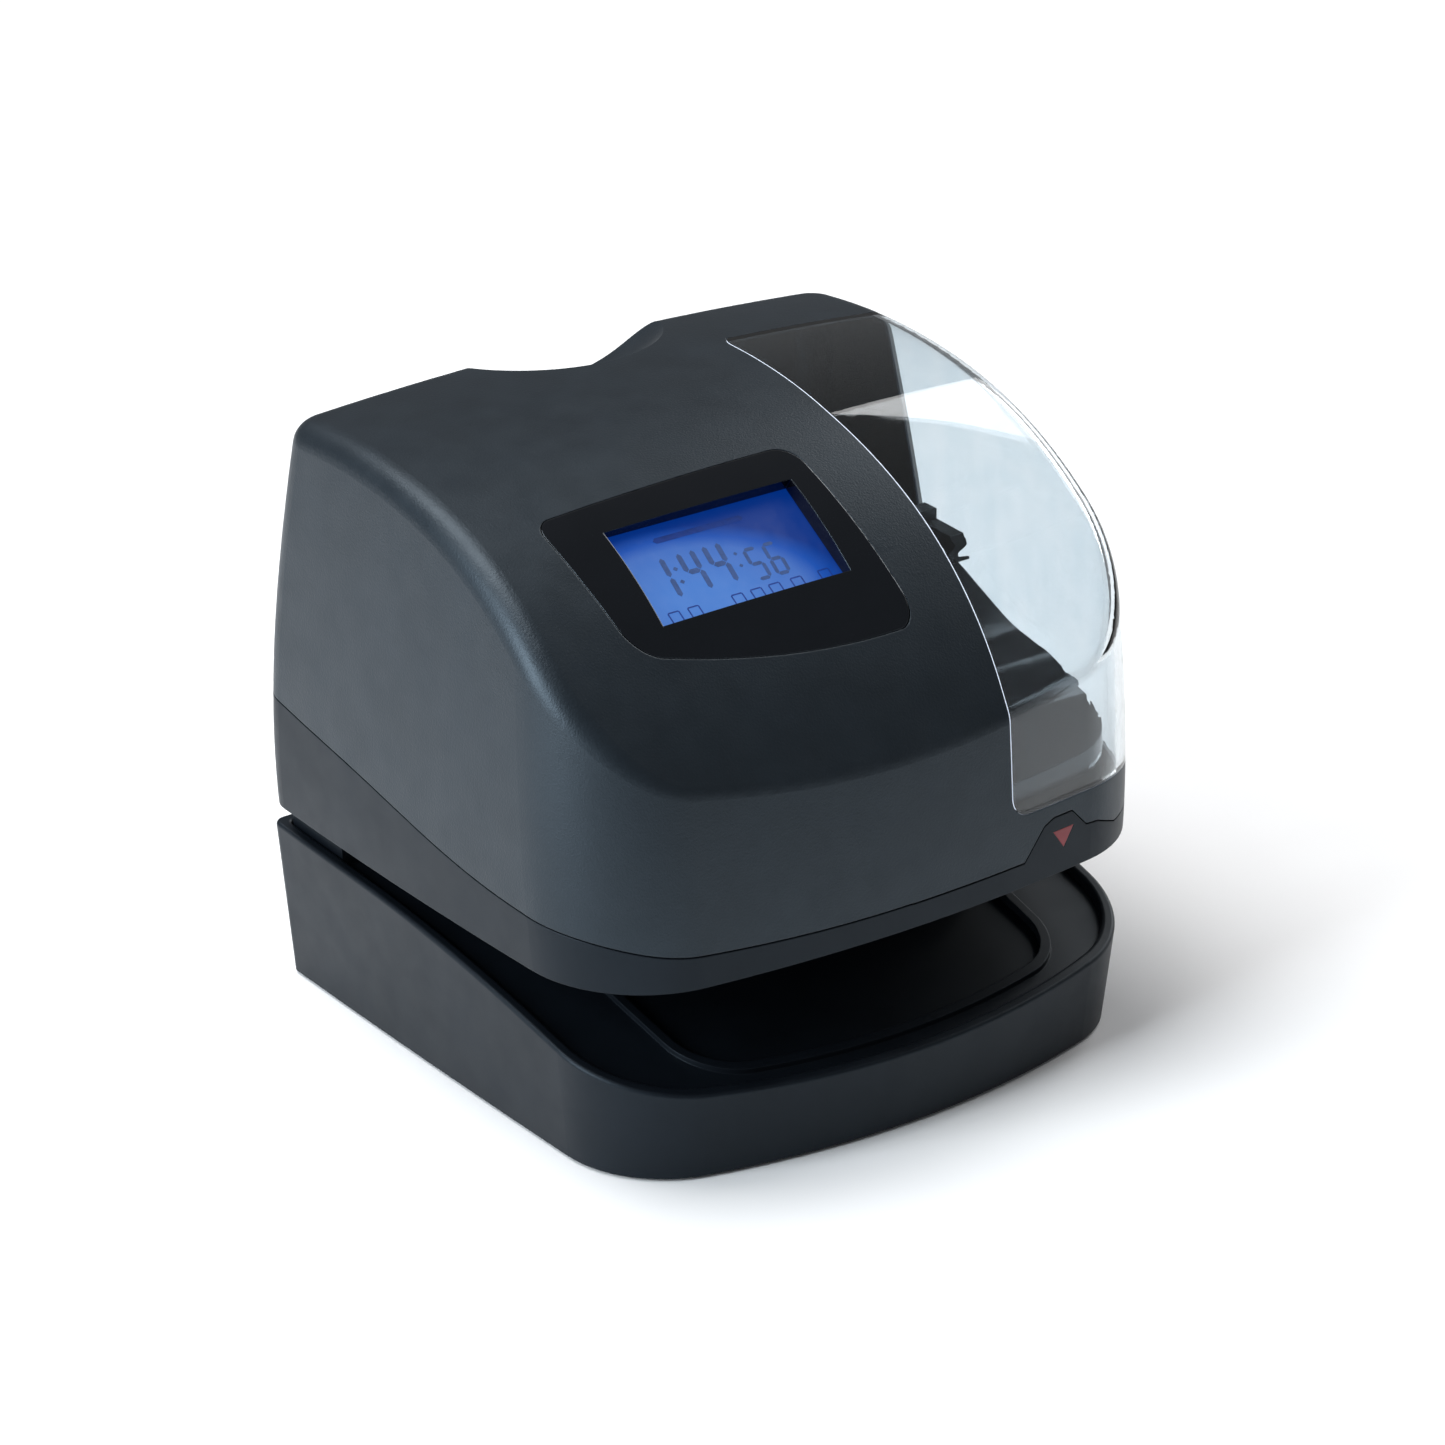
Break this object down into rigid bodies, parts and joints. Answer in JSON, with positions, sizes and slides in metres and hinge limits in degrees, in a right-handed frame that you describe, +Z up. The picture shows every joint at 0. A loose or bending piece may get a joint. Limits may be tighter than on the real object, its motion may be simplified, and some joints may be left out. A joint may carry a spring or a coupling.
{
  "type": "punch time clock",
  "caption": "Compact desktop punch time clock: head with tilted display and clear side cover over a sloping card tray, with print carriage, lock and lift-off cover.",
  "frame": {"origin": "on the table under the middle of the casing, at the underside of the rubber feet", "axes": "+Z up, -Y towards the operator, +X to the operator's right"},
  "size_m": [0.1642, 0.1495, 0.1486],
  "materials": {
    "textured_black": "fine moulded texture, satin",
    "satin_black": "smooth satin",
    "gloss_black": "polished",
    "clear_plastic": "clear polycarbonate",
    "lcd_blue": "backlit blue display",
    "white_diffuser": "milky light guide",
    "red_mark": "moulded red",
    "smoked_plastic": "glossy dark moulding",
    "inner_black": "moulded",
    "zinc_steel": "zinc plated sheet",
    "bright_steel": "ground",
    "chrome_lock": "plated",
    "motor_steel": "can",
    "head_aluminium": "cast",
    "belt_rubber": "moulded",
    "rubber_black": "moulded",
    "white_acetal": "moulded",
    "ribbon_fabric": "inked",
    "circuit_green": "solder mask",
    "battery_sleeve": "shrink sleeve",
    "component_black": "moulded",
    "button_white": "moulded"
  },
  "bodies": {
    "frame": {"base_shell": "satin_black", "base_plate": "zinc_steel", "rubber_feet": "rubber_black", "base_screws": "bright_steel", "card_table": "satin_black", "platen_pad": "rubber_black", "neck_column": "satin_black", "neck_bracket": "zinc_steel", "lower_skirt": "satin_black", "position_mark": "red_mark", "chassis_plate": "zinc_steel", "chassis_screws": "bright_steel", "lock_keeper": "zinc_steel", "printer_frame": "zinc_steel", "guide_shafts": "bright_steel", "drive_belt": "belt_rubber", "idler_pin": "bright_steel", "carriage_motor": "motor_steel", "cassette_lid": "smoked_plastic", "cassette_case": "inner_black", "ribbon_band": "ribbon_fabric", "cassette_latch": "inner_black", "lcd_panel": "lcd_blue", "lcd_frame": "inner_black", "backlight": "white_diffuser", "display_board": "circuit_green", "display_bracket": "zinc_steel", "control_board": "circuit_green", "board_pillars": "white_acetal", "transformer": "zinc_steel", "backup_battery": "battery_sleeve", "buzzer": "component_black", "connectors": "inner_black", "switch_bodies": "inner_black", "power_inlet": "component_black", "lever_holder": "inner_black", "lever_pin": "bright_steel"},
    "cover": {"upper_cover": "textured_black", "clear_side_cover": "clear_plastic", "display_bezel": "gloss_black", "lock_housing": "chrome_lock"},
    "lock": {"lock_cylinder": "chrome_lock", "lock_cam": "chrome_lock"},
    "carriage": {"print_carriage": "inner_black", "print_head": "head_aluminium"},
    "motor_pulley": {"motor_pulley": "white_acetal"},
    "idler_pulley": {"idler_pulley": "white_acetal"},
    "ribbon_knob": {"ribbon_knob": "inner_black"},
    "pinch_roller": {"pinch_roller": "white_acetal"},
    "card_lever": {"card_lever": "white_acetal"},
    "card_stop": {"card_stop": "inner_black"},
    "hour_button": {"hour_button": "button_white"},
    "minute_button": {"minute_button": "button_white"},
    "set_button": {"set_button": "button_white"}
  },
  "joints": [
    {"name": "cover_lift", "type": "slide", "parent": "frame", "child": "cover", "axis": [0, 0, 1], "range_m": [0, 0.1]},
    {"name": "lock_turn", "type": "hinge", "parent": "cover", "child": "lock", "pos_m": [0, 0.06, 0.112], "axis": [0, -1, 0], "range_deg": [0, 90]},
    {"name": "carriage_slide", "type": "slide", "parent": "frame", "child": "carriage", "axis": [1, 0, 0], "range_m": [-0.0085, 0.0085]},
    {"name": "motor_pulley_spin", "type": "hinge", "parent": "frame", "child": "motor_pulley", "pos_m": [0.018, 0.022, 0.078], "axis": [0, 1, 0], "range_deg": [-112, 112]},
    {"name": "idler_pulley_spin", "type": "hinge", "parent": "frame", "child": "idler_pulley", "pos_m": [0.064, 0.022, 0.078], "axis": [0, 1, 0], "range_deg": [-112, 112]},
    {"name": "ribbon_knob_spin", "type": "hinge", "parent": "frame", "child": "ribbon_knob", "pos_m": [0.03, -0.03405, 0.065], "axis": [0, 0, 1], "continuous": true},
    {"name": "pinch_roller_spin", "type": "hinge", "parent": "frame", "child": "pinch_roller", "pos_m": [0.03, -0.02395, 0.063], "axis": [0, 0, 1], "continuous": true},
    {"name": "card_lever_swing", "type": "hinge", "parent": "frame", "child": "card_lever", "pos_m": [0.045, 0.021, 0.055], "axis": [1, 0, 0], "range_deg": [0, 28], "stiffness_Nm_per_rad": 0.004, "springref_deg": -8.59},
    {"name": "card_stop_slide", "type": "slide", "parent": "frame", "child": "card_stop", "axis": [0, 1, 0], "range_m": [-0.002, 0.005]},
    {"name": "hour_button_press", "type": "slide", "parent": "frame", "child": "hour_button", "axis": [0, 0, -1], "range_m": [0, 0.001], "stiffness_N_per_m": 300, "springref_m": -0.0005},
    {"name": "minute_button_press", "type": "slide", "parent": "frame", "child": "minute_button", "axis": [0, 0, -1], "range_m": [0, 0.001], "stiffness_N_per_m": 300, "springref_m": -0.0005},
    {"name": "set_button_press", "type": "slide", "parent": "frame", "child": "set_button", "axis": [0, 0, -1], "range_m": [0, 0.001], "stiffness_N_per_m": 300, "springref_m": -0.0005}
  ],
  "couplings": [
    {"joint": "motor_pulley_spin", "follows": "carriage_slide", "rad_per_m": -222.22},
    {"joint": "idler_pulley_spin", "follows": "carriage_slide", "rad_per_m": -222.22},
    {"joint": "pinch_roller_spin", "follows": "ribbon_knob_spin", "ratio": -1}
  ]
}
